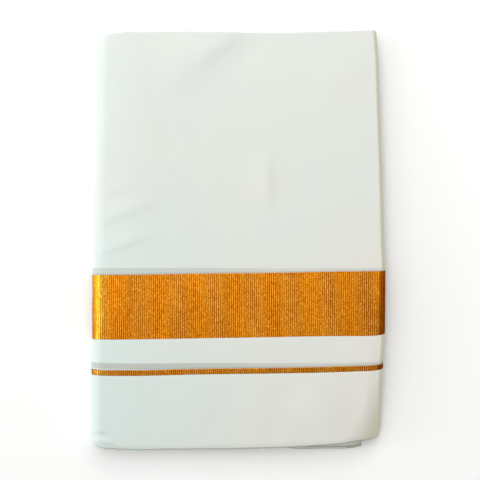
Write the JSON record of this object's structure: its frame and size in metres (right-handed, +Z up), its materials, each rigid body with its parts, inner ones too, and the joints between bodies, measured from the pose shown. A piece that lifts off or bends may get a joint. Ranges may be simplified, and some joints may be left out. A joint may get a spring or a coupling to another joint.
{
  "type": "folded dhoti cloth",
  "caption": "White cotton dhoti with a woven gold border, folded into a flat rectangular pack, wide band and fine line running across near one end.",
  "frame": {"origin": "centre of the pack's box, on the surface that it rests on", "axes": "+X from the folded spine to the noses, +Y from the selvedges and border to the pressed folds, +Z up out of the top face"},
  "size_m": [0.2258, 0.3211, 0.0183],
  "materials": {
    "cotton": "plain-woven bleached cotton, matt",
    "zari": "gold zari thread, ribbed weave with a metallic sheen"
  },
  "bodies": {
    "root": {"hem_cloth": "cotton", "zari_line": "zari", "border_cloth": "cotton", "zari_band": "zari", "body_cloth": "cotton", "hidden_leaves": "cotton"}
  },
  "joints": []
}
